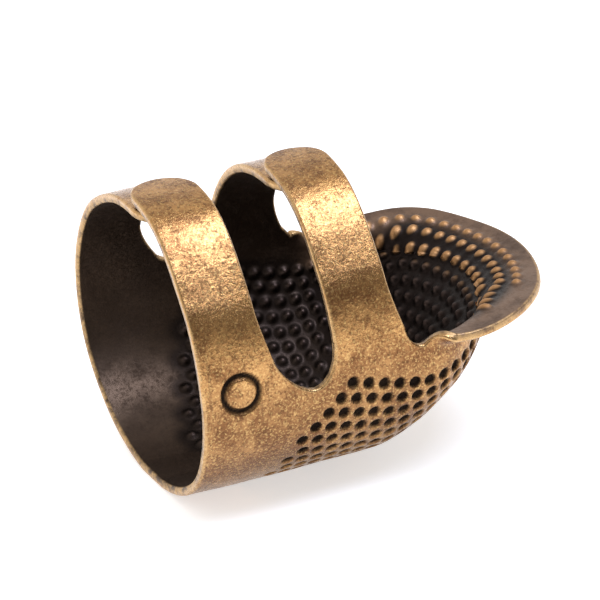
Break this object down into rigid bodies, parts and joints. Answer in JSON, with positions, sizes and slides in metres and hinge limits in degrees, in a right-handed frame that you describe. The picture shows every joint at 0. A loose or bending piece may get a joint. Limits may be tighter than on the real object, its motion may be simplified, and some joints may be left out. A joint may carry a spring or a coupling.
{
  "type": "adjustable open-nail thimble",
  "caption": "Ring thimble of bent brass sheet: dimpled finger pad with an upturned scoop, open over the nail, and lapped straps that adjust its size.",
  "frame": {"origin": "middle of the bounding box, on the plane that the pad's belly rests on", "axes": "+X along the finger towards its tip, -Y the near side whose straps lie outermost, +Z the nail side"},
  "size_m": [0.023, 0.0198, 0.017],
  "materials": {
    "pad_shell": "antique, brown patina with worn highlights",
    "near_straps": "antique, burnished",
    "far_straps": "antique, dark patina"
  },
  "bodies": {
    "shell": {"pad_shell": "pad_shell"},
    "rear_near_strap": {"rear_strap_near": "near_straps"},
    "rear_far_strap": {"rear_strap_far": "far_straps"},
    "front_near_strap": {"front_strap_near": "near_straps"},
    "front_far_strap": {"front_strap_far": "far_straps"}
  },
  "joints": [
    {"name": "rear_near_bend", "type": "hinge", "parent": "shell", "child": "rear_near_strap", "pos_m": [-0.00959, -0.00855, 0.00956], "axis": [1, 0, 0], "range_deg": [-5, 10]},
    {"name": "rear_far_bend", "type": "hinge", "parent": "shell", "child": "rear_far_strap", "pos_m": [-0.00959, 0.00855, 0.00956], "axis": [1, 0, 0], "range_deg": [-10, 5]},
    {"name": "front_near_bend", "type": "hinge", "parent": "shell", "child": "front_near_strap", "pos_m": [-0.00199, -0.00855, 0.00956], "axis": [1, 0, 0], "range_deg": [-5, 10]},
    {"name": "front_far_bend", "type": "hinge", "parent": "shell", "child": "front_far_strap", "pos_m": [-0.00199, 0.00855, 0.00956], "axis": [1, 0, 0], "range_deg": [-10, 5]}
  ],
  "couplings": [
    {"joint": "rear_far_bend", "follows": "rear_near_bend", "ratio": -1},
    {"joint": "front_far_bend", "follows": "front_near_bend", "ratio": -1}
  ]
}
